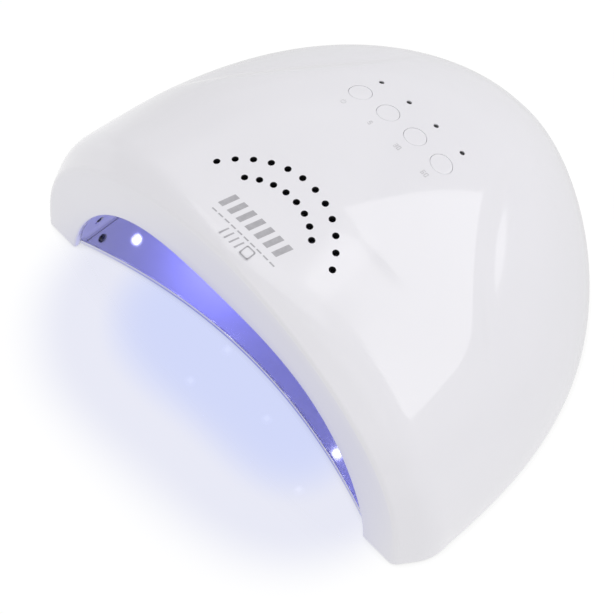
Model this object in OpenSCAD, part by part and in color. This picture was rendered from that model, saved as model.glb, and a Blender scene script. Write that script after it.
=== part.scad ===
// Nail curing lamp: a domed casing over an arched, LED-lined hand cavity, with a lift-off floor plate.
// Origin: ground level, centred under the lamp. +X is the lamp's right, -Y its open front, +Z up.

/* [Casing] */
// Greatest width, across the two front feet
body_w = 222; // [200:1:240]
// Depth from the front face to the back
body_d = 174; // [160:1:190]
// Height of the roof line above the casing's lower edge
body_h = 92; // [85:1:100]
// Wall thickness of the casing
wall = 2.6; // [2:0.1:3]
// Gap that the feet leave under the casing
foot_gap = 1.2; // [0.8:0.1:2]
// Depth of the bevel at the two front feet
bevel_d = 13.3; // [8:0.1:18]
// Depth of the finger scoop on each side
scoop_depth = 2; // [0:0.5:3]

/* [Hand opening] */
// Width of the arched opening
arch_w = 171; // [160:1:176]
// Height of the arched opening
arch_h = 65; // [58:1:68]
// How far the floor plate's front edge curves back at its middle
plate_sag = 15.3; // [5:0.5:20]
// Thickness of the floor plate
plate_t = 0.8; // [0.6:0.1:1]

/* [Buttons] */
// Button diameter
button_d = 9; // [8:0.5:10]
// Distance between neighbouring buttons
button_pitch = 14.5; // [13:0.5:16]
// How far a button travels when pressed
button_travel = 0.5; // [0.3:0.1:0.6]
// Diameter of each indicator window
window_d = 2.1; // [1.5:0.1:2.5]

/* [Vents] */
// Diameter of each vent hole
vent_d = 2.6; // [2:0.1:3]
// Holes in the outer vent arc
vents_outer = 12; // [8:1:14]
// Holes in the inner vent arc
vents_inner = 8; // [6:1:10]

/* [Light] */
// Diameter of each lens
lens_d = 5; // [4:0.2:5.2]

/* [Hidden] */

white = [0.93, 0.93, 0.95];
eps = 0.01;
round_fn = 48;
// Longer than the whole lamp, for shapes that only cut
far = 300;

// ---- Casing surface -------------------------------------------------------------------------
y_front = -body_d / 2;
y_back = body_d / 2;
// The plan is widest at this depth and closes behind it as a superellipse
y_wide = -63.5;
half_w = body_w / 2 - 0.9;
front_flare = 4.5;
plan_n = 2.43;
plan_m = 1.69;
// The roof line is highest in front of this depth and falls behind it
y_crest = -37.5;
front_rise = 2.2;
roof_n = 1.805;
roof_m = 2.194;
// Section exponents at the front, the middle and the back
exp_x = [2.25, 2.15, 2.31];
exp_z = [2.23, 1.79, 1.93];
// Backward lean of the front face, in mm per mm of height
face_lean = 0.091;
// Front face outline
face_half_w = 101.9;
face_h = 91.1;
face_exp_x = 1.727;
face_exp_z = 2.447;
// Rounded top edge of the face, and how fast the bevel narrows towards the top
edge_d = 3;
bevel_fade = 0.71;

function mix3(c, t) = c[0] * (1 - t) * (1 - 2 * t) + c[1] * 4 * t * (1 - t) + c[2] * t * (2 * t - 1);
function along(y) = (y - y_front) / body_d;
function spow(v, e) = v < 0 ? -pow(-v, e) : pow(v, e);
function close_off(t, n, m) = pow(max(0, 1 - pow(min(1, max(0, t)), n)), 1 / m);

// Half width and roof height at depth y, for a surface set inward by the distance inset
function plan_half(y, inset) = y < y_wide
    ? half_w - inset + front_flare * pow((y_wide - y) / (y_wide - y_front), 2)
    : (half_w - inset) * close_off((y - y_wide) / (y_back - inset - y_wide), plan_n, plan_m);
function roof(y, inset) = y < y_crest
    ? body_h - inset + front_rise * pow((y_crest - y) / (y_crest - y_front), 1.1)
    : (body_h - inset) * close_off((y - y_crest) / (y_back - inset - y_crest), roof_n, roof_m);

// The finger scoop is a shallow oval dish, from low at the front to high at the back. It drops off
// firmly along its front and top edge and fades out towards its back and low edge.
scoop_y = 12;
scoop_a = 50;
scoop_turn = 31.8;
scoop_long = 46;
scoop_short = 21;
// Widths of the firm edge and of the fade, as shares of the dish's half width
scoop_firm = 0.45;
scoop_fade = 1.9;
// Length of one degree round the casing, where the scoop is
degree_l = 1.4;
function smooth(t) = let (c = min(1, max(0, t))) c * c * (3 - 2 * c);
function side_angle(a) = a > 90 ? 180 - a : a;
function scoop_at(y, a) = let (
        u = y - scoop_y,
        v = degree_l * (side_angle(a) - scoop_a),
        run = (u * cos(scoop_turn) + v * sin(scoop_turn)) / scoop_long,
        across = (v * cos(scoop_turn) - u * sin(scoop_turn)) / scoop_short,
        chord = sqrt(max(0, 1 - run * run)))
    scoop_depth * smooth((chord - across) / scoop_firm) * smooth((chord + across) / scoop_fade);

function body_pt(y, a, inset) = let (
        x = plan_half(y, inset) * spow(cos(a), 2 / mix3(exp_x, along(y))),
        z = roof(y, inset) * pow(max(0, sin(a)), 2 / mix3(exp_z, along(y))),
        r = max(1, norm([x, z])),
        k = 1 - scoop_at(y, a) / r)
    [x * k, y, foot_gap + z * k];
function face_pt(a, inset) = let (
        z = (face_h - inset) * pow(max(0, sin(a)), 2 / face_exp_z))
    [(face_half_w - inset) * spow(cos(a), 2 / face_exp_x), y_front + inset + face_lean * z, foot_gap + z];
// Depth at which the bevel meets the body
function bevel_end(a, inset) = let (
        y = y_front + edge_d + (bevel_d - edge_d) * pow(abs(cos(a)), bevel_fade) + inset / 2)
    y + face_lean * (body_pt(y, a, inset)[2] - foot_gap);

// Rings of points run from the front face to the back; each ring goes from the right foot over to the left
function ring_share(j, rings) = closing((j - 1) / (rings - 1));
function shell_ring(j, rings, steps, inset) = [for (i = [0 : steps]) let (a = 180 * i / steps,
        y0 = bevel_end(a, inset))
    j == 0 ? face_pt(a, inset) : body_pt(y0 + (y_back - inset - y0) * ring_share(j, rings), a, inset)];

// Solid bounded by rings: ring 0 closes flat, the last ring meets at a point, the floor closes flat
module ring_solid(ring_list, tip) {
    rings = len(ring_list);
    n = len(ring_list[0]);
    pts = concat([for (r = ring_list) each r], [tip]);
    tip_i = rings * n;
    sides = [for (j = [0 : rings - 2], i = [0 : n - 2]) each let (a = j * n + i, b = a + n)
        [[a, a + 1, b + 1], [a, b + 1, b]]];
    cap = [for (i = [0 : n - 2]) [(rings - 1) * n + i, (rings - 1) * n + i + 1, tip_i]];
    front = [[for (i = [n - 1 : -1 : 0]) i]];
    floor_face = [concat([for (j = [0 : rings - 1]) j * n], [tip_i],
                         [for (j = [rings - 1 : -1 : 0]) j * n + n - 1])];
    polyhedron(pts, concat(sides, cap, front, floor_face), convexity = 6);
}
module shell_solid(rings, steps, inset) {
    ring_solid([for (j = [0 : rings - 1]) shell_ring(j, rings, steps, inset)],
               [0, y_back - inset, foot_gap]);
}

// ---- Hand cavity ----------------------------------------------------------------------------
arch_exp_x = 3.06;
arch_exp_z = 1.467;
liner_t = 1.6;
liner_back = 60;
liner_seat_z = foot_gap + 4.3;
face_t = 3;
function arch_pt(a, grow) = [(arch_w / 2 + grow) * spow(cos(a), 2 / arch_exp_x),
                             foot_gap + (arch_h + grow) * pow(max(0, sin(a)), 2 / arch_exp_z)];
function liner_half(y, grow) = (arch_w / 2 + grow)
    * close_off((y - y_wide) / (liner_back + grow - y_wide), plan_n, plan_m);
function liner_roof(y, grow) = (arch_h + grow) * close_off((y + 30) / (liner_back + grow + 30), 2.2, 2.2);
function liner_pt(y, a, grow) = let (t = along(y))
    [liner_half(y, grow) * spow(cos(a), 2 / (arch_exp_x - 0.8 * max(0, t))), y,
     foot_gap + liner_roof(y, grow) * pow(max(0, sin(a)), 2 / (arch_exp_z + 0.5 * max(0, t)))];
function liner_front(a) = y_front + face_t + 0.2
    + face_lean * arch_h * pow(max(0, sin(a)), 2 / arch_exp_z);
function liner_ring(j, rings, steps, grow, start) = [for (i = [0 : steps]) let (a = 180 * i / steps,
        y0 = liner_front(a) - start)
    liner_pt(y0 + (liner_back + grow - y0) * closing(j / rings), a, grow)];
module liner_solid(rings, steps, grow, start) {
    ring_solid([for (j = [0 : rings - 1]) liner_ring(j, rings, steps, grow, start)],
               [0, liner_back + grow, foot_gap]);
}
// Inward normal of the liner's wall
function liner_normal(y, a) = let (
        p = liner_pt(y, a, 0),
        da = liner_pt(y, a + 0.5, 0) - p,
        dy = liner_pt(y + 0.5, a, 0) - p,
        c = cross(dy, da),
        n = c / norm(c))
    n[2] * (p[2] - foot_gap) + n[0] * p[0] > 0 ? -n : n;

// ---- Lamp positions: depth and angle round the liner of every LED -----------------------------
led_rows = [[-73, [75, 105]],
            [-60, [24, 90, 156]],
            [-51.5, [74, 106]],
            [-34, [24, 44, 62, 90, 118, 136, 156]],
            [-8, [25, 48, 72, 108, 132, 155]],
            [18, [26, 50, 74, 106, 130, 154]],
            [40, [50, 76, 104, 130]]];
led_sites = [for (row = led_rows, a = row[1]) [row[0], a]];
board_t = 1;
board_side = 9;
emitter_t = 1.6;
emitter_side = 3.8;
lens_rise = 0.8;
lens_dome_r = 4.4;
led_stand = liner_t + 0.2;
// The hand sensor looks across the front of the cavity, low down
sensor_y = -74;
sensor_a = 12.2;
sensor_r = 2;
sensor_l = 7;

// Put children on the liner's wall, with +Z pointing into the cavity
module on_liner(y, a) {
    n = liner_normal(y, a);
    translate(liner_pt(y, a, 0))
        rotate([0, acos(n[2]), atan2(n[1], n[0])])
            children();
}

// ---- Button panel: the board, switches and buttons share one tilted frame ---------------------
button_y = 10.9;
window_y = 22.2;
board_depth = 12.5;
function skin_z(x, y) = foot_gap + roof(y, 0) * pow(max(0, 1 - pow(abs(x) / plan_half(y, 0),
        mix3(exp_x, along(y)))), 1 / mix3(exp_z, along(y)));
panel_tilt = atan((skin_z(0, button_y - 1) - skin_z(0, button_y + 1)) / 2);
panel_up = [0, sin(panel_tilt), cos(panel_tilt)];
board_origin = [0, button_y, skin_z(0, button_y)] - board_depth * panel_up;
button_x = [for (i = [0 : 3]) (i - 1.5) * button_pitch];
// Height of the skin over the board, measured along the panel's own axis
function skin_over(x, y) = let (s = (skin_z(x, y + 1) - skin_z(x, y - 1)) / 2)
    [x, (y - button_y) / cos(panel_tilt)
        + (skin_z(x, y) - skin_z(0, button_y) + (y - button_y) * tan(panel_tilt)) * sin(panel_tilt),
     board_depth + (skin_z(x, y) - skin_z(0, button_y)) * cos(panel_tilt)
        + (y - button_y) * sin(panel_tilt)];
module on_board() {
    translate(board_origin) rotate([-panel_tilt, 0, 0]) children();
}
// Ball whose top follows the casing's skin at x, used to round the tops of the buttons
skin_ball_r = 95;
module skin_ball(x, y) {
    sx = (skin_z(x + 1, y) - skin_z(x - 1, y)) / 2;
    sy = (skin_z(x, y + 1) - skin_z(x, y - 1)) / 2;
    n = [-sx, -sy, 1] / norm([-sx, -sy, 1]);
    translate([x, y, skin_z(x, y)] - skin_ball_r * n) sphere(r = skin_ball_r, $fn = 96);
}

switch_h = 3.5;
plunger_r = 1.7;
plunger_low = 2.3;
plunger_top = 4.6;
board_w = 66;
board_front = -17;
board_back = 25;
board_th = 1.6;
board_fix = [[-29, -12], [29, -12], [-29, 13], [29, 13]];
button_gap = 0.2;
// How far the hole for a window is wider than the window
window_gap = 0.02;

// ---- Pieces on the board: sizes, and places in the panel's frame --------------------------------
switch_side = 6;
chip = [10, 6.5, 1.6];
chip_y = 15.5;
coil = [8, 7, 4];
coil_y = -14.5;
can_r = 2.6;
can_l = 9;
can_x = 20;
transistor = [5, 6, 1.6];
transistor_x = [-20, -13, 13];
transistor_y = 16;
connector = [6, 10, 3.6];
connector_x = 29;
indicator = [1.6, 1, 0.8];

// ---- Power inlet ------------------------------------------------------------------------------
jack_l = 12;
jack_body = [10, 10, 9];
jack_bore_r = 2.8;
jack_bore_l = 9.5;
jack_pin_r = 1.05;
nut_r = 6;
nut_t = 2;
nut_back = 7.6;

// ---- Base -------------------------------------------------------------------------------------
frame_low = foot_gap + 0.3;
frame_top = liner_seat_z;
plate_low = foot_gap + 0.5;
plate_clear = 0.1;
plate_side_clear = 0.3;
plate_margin = 7;
plate_half = arch_w / 2 - 0.5;
fixings = [[100, -58], [88.5, 8], [50, 60]];
feet = [[97.5, -68.5], [72.5, 34]];
foot_r = 5;
foot_t = 2.3;
outline_steps = 20;
skin_clear = 0.9;
jack_z = 15;
jack_r = 4;
jack_back = y_back - 1.6;

// Depths from one end to the other, closer together towards the back, where outlines turn fastest
function closing(t) = 1 - pow(1 - t, 1.7);
function depths(from, to) = [for (i = [0 : outline_steps]) from + (to - from) * closing(i / outline_steps)];
function mirrored(side) = concat(side, [for (i = [len(side) - 1 : -1 : 0]) [-side[i][0], side[i][1]]]);
function frame_outline() = let (inset = wall + skin_clear)
    mirrored([for (y = depths(y_front + face_t + bevel_d, y_back - inset)) [plan_half(y, inset), y]]);
function frame_foot() = let (x0 = face_half_w - wall - 1.5, y0 = y_front + face_t + 0.5)
    [[x0, y0], [-x0, y0]];
function cavity_outline(grow) = mirrored([for (y = depths(y_front - 5, liner_back + grow))
    [liner_half(y, grow), y]]);
function plate_outline(clear) = mirrored([for (y = depths(y_wide, liner_back + plate_margin))
    [min(plate_half, liner_half(y, plate_margin)) + clear, y + clear]]);
function plate_front(x) = y_front + face_t + plate_sag * (1 - pow(x / plate_half, 2));
module plate_shape(front_shift) {
    polygon(concat([for (i = [0 : 24]) let (x = plate_half * (i / 12 - 1))
                       [x, plate_front(x) + front_shift]],
                   plate_outline(0)));
}
module mirror_pair() {
    children();
    mirror([1, 0, 0]) children();
}
// Round lead swept along points; side is a direction that the path never runs along
module lead(pts, r, side) {
    n = 10;
    last = len(pts) - 1;
    unit = [for (i = [0 : last]) let (d = pts[min(i + 1, last)] - pts[max(i - 1, 0)]) d / norm(d)];
    ring_pts = [for (i = [0 : last]) let (u = cross(unit[i], side), u1 = u / norm(u), v = cross(unit[i], u1))
        for (k = [0 : n - 1]) pts[i] + r * (cos(360 * k / n) * u1 + sin(360 * k / n) * v)];
    sides = [for (i = [0 : last - 1], k = [0 : n - 1]) let (k1 = (k + 1) % n)
        [i * n + k, i * n + k1, (i + 1) * n + k1, (i + 1) * n + k]];
    tris = [for (f = sides) each [[f[0], f[2], f[1]], [f[0], f[3], f[2]]]];
    end_faces = [[for (k = [0 : n - 1]) k], [for (k = [n - 1 : -1 : 0]) last * n + k]];
    polyhedron(ring_pts, concat(tris, end_faces), convexity = 4);
}

// ---- Sub-parts --------------------------------------------------------------------------------
module vent_holes() {
    vent_centre_y = -71.9;
    for (arc = [[36.3, vents_outer, 10.64], [27.6, vents_inner, 11.58]])
        for (i = [0 : arc[1] - 1]) let (a = (i - (arc[1] - 1) / 2) * arc[2])
            translate([arc[0] * sin(a), vent_centre_y + arc[0] * cos(a), body_h - 40])
                cylinder(h = 60, r = vent_d / 2, $fn = round_fn);
}
module shell_bosses() {
    boss_r = 3.6;
    for (p = fixings) mirror_pair() {
        translate([p[0], p[1], frame_top]) cylinder(h = 16, r = boss_r, $fn = round_fn);
        translate([p[0], p[1] - 1, frame_top]) cube([20, 2, 14]);
    }
    on_board() for (p = board_fix)
        translate([p[0], p[1], 0]) cylinder(h = 20, r = 2.8, $fn = round_fn);
}
module top_shell() color(white) difference() {
    shell_solid(26, 44, 0);
    difference() {
        translate([0, 0, -eps]) shell_solid(22, 38, wall);
        shell_bosses();
    }
    translate([0, y_front - 10, 0]) rotate([-90, 0, 0]) mirror([0, 1, 0])
        linear_extrude(height = 30)
            polygon(concat([for (i = [0 : 40]) arch_pt(180 * i / 40, 0)],
                           [[-arch_w / 2, -5], [arch_w / 2, -5]]));
    vent_holes();
    on_board() {
        for (x = button_x) translate([x, 0, 1])
            cylinder(h = 30, r = button_d / 2 + button_gap, $fn = round_fn);
        for (p = board_fix) translate([p[0], p[1], -1]) cylinder(h = 5, r = 1.05, $fn = round_fn);
    }
    for (x = button_x) let (s = skin_over(x, window_y))
        on_board() translate([s[0], s[1], 1]) cylinder(h = 30, r = window_d / 2 + window_gap, $fn = round_fn);
    for (p = fixings) mirror_pair()
        translate([p[0], p[1], frame_top - 1]) cylinder(h = 12, r = 1.3, $fn = round_fn);
    translate([0, y_back - 15, jack_z]) rotate([-90, 0, 0])
        cylinder(h = 30, r = jack_r + 0.1, $fn = round_fn);
}

module reflector_liner() color([0.9, 0.9, 0.96]) {
    flange_w = 9;
    difference() {
        union() {
            difference() {
                liner_solid(12, 28, liner_t, 0);
                translate([-far / 2, -far / 2, -far]) cube([far, far, far + liner_seat_z]);
            }
            translate([0, 0, liner_seat_z]) linear_extrude(height = liner_t) intersection() {
                polygon(cavity_outline(flange_w));
                translate([-far / 2, y_front + face_t + 2]) square(far);
            }
        }
        translate([0, 0, -eps]) liner_solid(12, 28, 0, 3);
        for (s = led_sites) on_liner(s[0], s[1]) translate([0, 0, -6])
            cylinder(h = 12, r = lens_d / 2 + 0.1, $fn = round_fn);
        for (p = liner_fix) mirror_pair()
            translate([p[0], p[1], liner_seat_z - 1]) cylinder(h = 4, r = 1.2, $fn = round_fn);
        for (a = [sensor_a, 180 - sensor_a]) on_liner(sensor_y, a) translate([0, 0, -6])
            cylinder(h = 12, r = sensor_r + 0.1, $fn = round_fn);
    }
}
liner_fix = [[89.5, -40], [80, 18]];

module base_frame() color(white) difference() {
    translate([0, 0, frame_low]) linear_extrude(height = frame_top - frame_low)
        polygon(concat(frame_foot(), [for (p = frame_outline()) [-p[0], p[1]]]));
    translate([0, 0, frame_low - 1]) linear_extrude(height = 10) polygon(cavity_outline(0));
    translate([0, 0, -far]) linear_extrude(height = far + plate_low + plate_t + plate_clear)
        polygon(concat([[-plate_half - plate_side_clear, -far], [plate_half + plate_side_clear, -far]],
                       plate_outline(plate_side_clear)));
    for (p = magnet_sites) mirror_pair() translate([p[0], p[1], frame_low])
        cylinder(h = magnet_top - frame_low, r = magnet_r + 0.02, $fn = round_fn);
    for (p = feet) mirror_pair() translate([p[0], p[1], frame_low - 1])
        cylinder(h = 1 + foot_t - frame_low, r = foot_r + 0.05, $fn = round_fn);
    for (p = fixings) mirror_pair() translate([p[0], p[1], frame_low - 1]) {
        cylinder(h = 10, r = 1.6, $fn = round_fn);
        cylinder(h = 1 + 1.6, r = 3.1, $fn = round_fn);
    }
    for (p = liner_fix) mirror_pair()
        translate([p[0], p[1], frame_top - 3]) cylinder(h = 4, r = 0.95, $fn = round_fn);
}
magnet_r = 2.6;
magnet_h = 2;
magnet_top = plate_low + plate_t + plate_clear + magnet_h;
magnet_sites = [[(liner_half(0, 0) + liner_half(0, plate_margin)) / 2, 0],
                [(liner_half(36, 0) + liner_half(36, plate_margin)) / 2, 36]];

module plate_magnets() color([0.6, 0.6, 0.63]) for (p = magnet_sites) mirror_pair()
    translate([p[0], p[1], magnet_top - magnet_h]) cylinder(h = magnet_h, r = magnet_r, $fn = round_fn);

module floor_plate() color([0.72, 0.73, 0.76]) {
    lip_w = 1.2;
    lip_h = 1.9;
    translate([0, 0, plate_low]) linear_extrude(height = plate_t) plate_shape(0);
    translate([0, 0, plate_low]) linear_extrude(height = lip_h) difference() {
        plate_shape(0);
        plate_shape(lip_w);
        translate([-far / 2, y_wide]) square(far);
    }
}

module rubber_feet() color([0.16, 0.16, 0.17]) for (p = feet) mirror_pair()
    translate([p[0], p[1], 0]) cylinder(h = foot_t, r = foot_r, $fn = round_fn);

// A screw that stands head down: head and shank, each by radius and length
module screw(head_r, head_l, shank_r, shank_l) {
    cylinder(h = head_l, r = head_r, $fn = round_fn);
    translate([0, 0, head_l - eps]) cylinder(h = shank_l, r = shank_r, $fn = round_fn);
}
module base_screws() color([0.55, 0.55, 0.58]) {
    slot = [4, 0.6, 0.8];
    for (p = fixings) mirror_pair() translate([p[0], p[1], frame_low + 0.2]) difference() {
        screw(2.8, 1.4, 1.25, 11);
        for (turn = [0, 90]) rotate([0, 0, turn])
            translate([-slot[0] / 2, -slot[1] / 2, -eps]) cube(slot);
    }
}

// One button: a cap that follows the skin, a retaining flange and a stem down to the plunger
module button(x) color(white) {
    top = skin_over(x, button_y)[2];
    flange_top = top - 4.4;
    intersection() {
        union() {
            on_board() translate([x, 0, flange_top - 0.8]) cylinder(h = 20, r = button_d / 2, $fn = round_fn);
            on_board() translate([x, 0, flange_top - 0.8])
                cylinder(h = 0.8, r = button_d / 2 + 1, $fn = round_fn);
            on_board() translate([x, 0, plunger_top]) cylinder(h = 4, r = 1.5, $fn = round_fn);
        }
        skin_ball(x, button_y);
    }
}
module button_power() button(button_x[0]);
module button_short() button(button_x[1]);
module button_medium() button(button_x[2]);
module button_long() button(button_x[3]);

module plunger(x) color([0.2, 0.2, 0.22]) on_board() translate([x, 0, plunger_low])
    cylinder(h = plunger_top - plunger_low, r = plunger_r, $fn = round_fn);
module plunger_power() plunger(button_x[0]);
module plunger_short() plunger(button_x[1]);
module plunger_medium() plunger(button_x[2]);
module plunger_long() plunger(button_x[3]);

module switch_bodies() color([0.25, 0.25, 0.27]) on_board() for (x = button_x)
    translate([x, 0, 0]) difference() {
        translate([-switch_side / 2, -switch_side / 2, 0]) cube([switch_side, switch_side, switch_h]);
        translate([0, 0, plunger_low - 0.8]) cylinder(h = 4, r = plunger_r + 0.05, $fn = round_fn);
    }

module control_board() color([0.1, 0.35, 0.2]) on_board() difference() {
    translate([-board_w / 2, board_front, -board_th]) cube([board_w, board_back - board_front, board_th]);
    for (p = board_fix) translate([p[0], p[1], -3]) cylinder(h = 5, r = 1.1, $fn = round_fn);
}
module board_screws() color([0.7, 0.7, 0.72]) on_board() for (p = board_fix)
    translate([p[0], p[1], -board_th - 1.3]) screw(2.2, 1.3, 1, 5);
module on_board_box(x, y, size) translate([x - size[0] / 2, y, 0]) cube(size);
module controller_chip() color([0.12, 0.12, 0.13]) on_board() on_board_box(0, chip_y, chip);
module capacitors() color([0.2, 0.22, 0.3]) on_board() for (x = [-can_x, can_x])
    translate([x, coil_y, can_r]) rotate([0, x < 0 ? 90 : -90, 0])
        cylinder(h = can_l, r = can_r, $fn = round_fn);
module inductor() color([0.3, 0.3, 0.32]) on_board() on_board_box(0, coil_y, coil);
module power_transistors() color([0.12, 0.12, 0.13]) on_board() for (x = transistor_x)
    on_board_box(x, transistor_y, transistor);
module board_connectors() color([0.9, 0.88, 0.8]) on_board() for (x = [-connector_x, connector_x])
    on_board_box(x, -connector[1] / 2, connector);

module indicator_windows() color([0.08, 0.08, 0.1]) on_board()
    for (x = button_x) let (s = skin_over(x, window_y))
        translate([s[0], s[1], s[2] - 3.4]) cylinder(h = 3.2, r = window_d / 2, $fn = round_fn);
module indicator_leds() color([0.9, 0.92, 0.95]) on_board()
    for (x = button_x) let (s = skin_over(x, window_y))
        on_board_box(s[0], s[1] - indicator[1] / 2, indicator);

module led_boards() color([0.92, 0.92, 0.9]) for (s = led_sites) on_liner(s[0], s[1])
    translate([-board_side / 2, -board_side / 2, -led_stand - emitter_t - board_t])
        cube([board_side, board_side, board_t]);
module led_emitters() color([0.85, 0.8, 0.35]) for (s = led_sites) on_liner(s[0], s[1])
    translate([-emitter_side / 2, -emitter_side / 2, -led_stand - emitter_t])
        cube([emitter_side, emitter_side, emitter_t]);
module led_lenses() color([0.8, 0.78, 1]) for (s = led_sites) on_liner(s[0], s[1]) intersection() {
    translate([0, 0, -led_stand]) cylinder(h = led_stand + 2 * lens_rise, r = lens_d / 2, $fn = round_fn);
    translate([0, 0, lens_rise - lens_dome_r]) sphere(r = lens_dome_r, $fn = round_fn);
}
module liner_screws() color([0.7, 0.7, 0.72]) for (p = liner_fix) mirror_pair()
    translate([p[0], p[1], liner_seat_z + liner_t + 1.2]) mirror([0, 0, 1]) screw(2, 1.2, 0.9, 4);

// Hand sensor: an emitter and a receiver face each other through the liner's walls
module sensor_can(a) on_liner(sensor_y, a) {
    translate([0, 0, -sensor_l]) cylinder(h = sensor_l - sensor_r + 0.3, r = sensor_r, $fn = round_fn);
    translate([0, 0, 0.3 - sensor_r]) sphere(r = sensor_r, $fn = round_fn);
}
module hand_sensor_emitter() color([0.75, 0.75, 0.8]) sensor_can(sensor_a);
module hand_sensor_receiver() color([0.1, 0.1, 0.12]) sensor_can(180 - sensor_a);

module dc_jack() color([0.1, 0.1, 0.11]) translate([0, jack_back, jack_z]) rotate([90, 0, 0]) {
    difference() {
        union() {
            cylinder(h = jack_l, r = jack_r, $fn = round_fn);
            translate([-jack_body[0] / 2, -jack_body[1] / 2, jack_l - 2]) cube(jack_body);
        }
        translate([0, 0, -1]) cylinder(h = jack_bore_l + 1, r = jack_bore_r, $fn = round_fn);
    }
    translate([0, 0, 1]) cylinder(h = jack_bore_l - 0.5, r = jack_pin_r, $fn = round_fn);
}
module jack_nut() color([0.75, 0.75, 0.78])
    translate([0, jack_back - nut_back, jack_z]) rotate([90, 0, 0]) difference() {
        cylinder(h = nut_t, r = nut_r, $fn = 6);
        translate([0, 0, -1]) cylinder(h = nut_t + 2, r = jack_r + 0.05, $fn = round_fn);
    }
module jack_leads() color([0.75, 0.1, 0.1]) for (x = [-1, 1])
    lead([[x * 2.5, jack_back - 19.3, jack_z + 2],
          [x * 2.5, jack_back - 22, jack_z + 2],
          [x * 4, jack_back - 25, jack_z + 8],
          [x * 9, 57, 36],
          [x * 14, 48, 50],
          [x * 20, 40, 60]], 0.8, [1, 0, 0]);
// A lead runs along each row of LEDs, behind their boards, and follows the curve of the liner
module led_leads() color([0.85, 0.85, 0.85]) {
    lead_r = 0.7;
    angle_step = 10;
    behind = led_stand + emitter_t + board_t + 1.7;
    for (row = led_rows) let (first = row[1][0], last = row[1][len(row[1]) - 1])
        lead([for (a = [first : angle_step : last])
                 liner_pt(row[0], a, 0) - behind * liner_normal(row[0], a)], lead_r, [0, 1, 0]);
}

top_shell();
reflector_liner();
base_frame();
floor_plate();
plate_magnets();
rubber_feet();
base_screws();
button_power();
button_short();
button_medium();
button_long();
plunger_power();
plunger_short();
plunger_medium();
plunger_long();
switch_bodies();
control_board();
board_screws();
controller_chip();
capacitors();
inductor();
power_transistors();
board_connectors();
indicator_windows();
indicator_leds();
led_boards();
led_emitters();
led_lenses();
liner_screws();
hand_sensor_emitter();
hand_sensor_receiver();
dc_jack();
jack_nut();
jack_leads();
led_leads();
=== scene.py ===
"""Curing lamp: the looks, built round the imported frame. Shapes are worked out in millimetres."""
import math

import bmesh
import bpy
import numpy as np
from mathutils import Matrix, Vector
from mathutils.bvhtree import BVHTree


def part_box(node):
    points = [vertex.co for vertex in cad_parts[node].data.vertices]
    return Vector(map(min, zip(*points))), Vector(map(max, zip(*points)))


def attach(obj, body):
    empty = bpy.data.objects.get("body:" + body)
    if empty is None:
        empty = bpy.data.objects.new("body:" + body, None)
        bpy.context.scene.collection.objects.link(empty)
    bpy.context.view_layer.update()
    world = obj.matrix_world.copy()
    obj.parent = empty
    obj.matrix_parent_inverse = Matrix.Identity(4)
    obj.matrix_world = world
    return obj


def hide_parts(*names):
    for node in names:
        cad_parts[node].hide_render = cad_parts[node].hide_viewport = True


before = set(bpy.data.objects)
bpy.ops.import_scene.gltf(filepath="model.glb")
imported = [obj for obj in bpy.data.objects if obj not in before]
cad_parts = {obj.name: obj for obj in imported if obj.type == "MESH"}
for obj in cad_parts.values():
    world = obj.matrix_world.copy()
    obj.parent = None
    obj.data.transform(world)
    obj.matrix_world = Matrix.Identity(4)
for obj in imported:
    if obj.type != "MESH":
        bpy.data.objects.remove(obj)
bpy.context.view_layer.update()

MM = 0.001


# ---- Driving dimensions, in millimetres -----------------------------------------------------------
def cad_corner(node, high):
    """One corner of a CAD node's box, in millimetres."""
    return np.array(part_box(node)[high]) / MM


SHELL_LOW = cad_corner("top_shell", 0)
SHELL_HIGH = cad_corner("top_shell", 1)
FOOT_GAP = SHELL_LOW[2]
Y_FRONT = SHELL_LOW[1]
Y_BACK = SHELL_HIGH[1]
BODY_D = Y_BACK - Y_FRONT
BODY_H = 92.0
HALF_W = 110.1
WALL = 2.6
FACE_T = 3.0

# Plan outline and roof line: both close off behind as superellipses
Y_WIDE = -63.5
FRONT_FLARE = 4.5
PLAN_POWERS = (2.43, 1.69)
Y_CREST = -37.5
FRONT_RISE = 2.2
ROOF_POWERS = (1.805, 2.194)
# Section exponents at the front, the middle and the back
SECTION_X = (2.25, 2.15, 2.31)
SECTION_Z = (2.23, 1.79, 1.93)
# Front face and the bevel round it
FACE_LEAN = 0.091
FACE_HALF_W = 101.9
FACE_H = 91.1
FACE_POWERS = (1.727, 2.447)
EDGE_D = 3.0
BEVEL_D = 13.3
BEVEL_FADE = 0.71
# Finger scoop: its depth, its middle (depth along the casing, angle round it), its turn out of the
# lamp's own direction, its half sizes, and the shares of them that its firm edge and its fade take
SCOOP_DEPTH = 1.9
SCOOP_Y = 12.0
SCOOP_ANGLE = 50.0
SCOOP_TURN = 31.8
SCOOP_LONG = 46.0
SCOOP_SHORT = 21.0
SCOOP_FIRM = 0.45
SCOOP_FADE = 1.9
DEGREE_L = 1.4

# Hand opening and the liner behind it
ARCH_HALF = 85.5
ARCH_H = 65.0
ARCH_POWERS = (3.06, 1.467)
LINER_T = 1.6
LINER_BACK = 60.0
LINER_SEAT = cad_corner("base_frame", 1)[2] - FOOT_GAP
LINER_FLANGE = 9.0
LINER_CREST = -30.0
LINER_ROOF_POWER = 2.2
LED_ROWS = (
    (-73, (75, 105)),
    (-60, (24, 90, 156)),
    (-51.5, (74, 106)),
    (-34, (24, 44, 62, 90, 118, 136, 156)),
    (-8, (25, 48, 72, 108, 132, 155)),
    (18, (26, 50, 74, 106, 130, 154)),
    (40, (50, 76, 104, 130)),
)
LENS_R = 2.5
SENSOR_Y = -74.0
SENSOR_ANGLE = 12.2
SENSOR_R = 2.0

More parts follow.
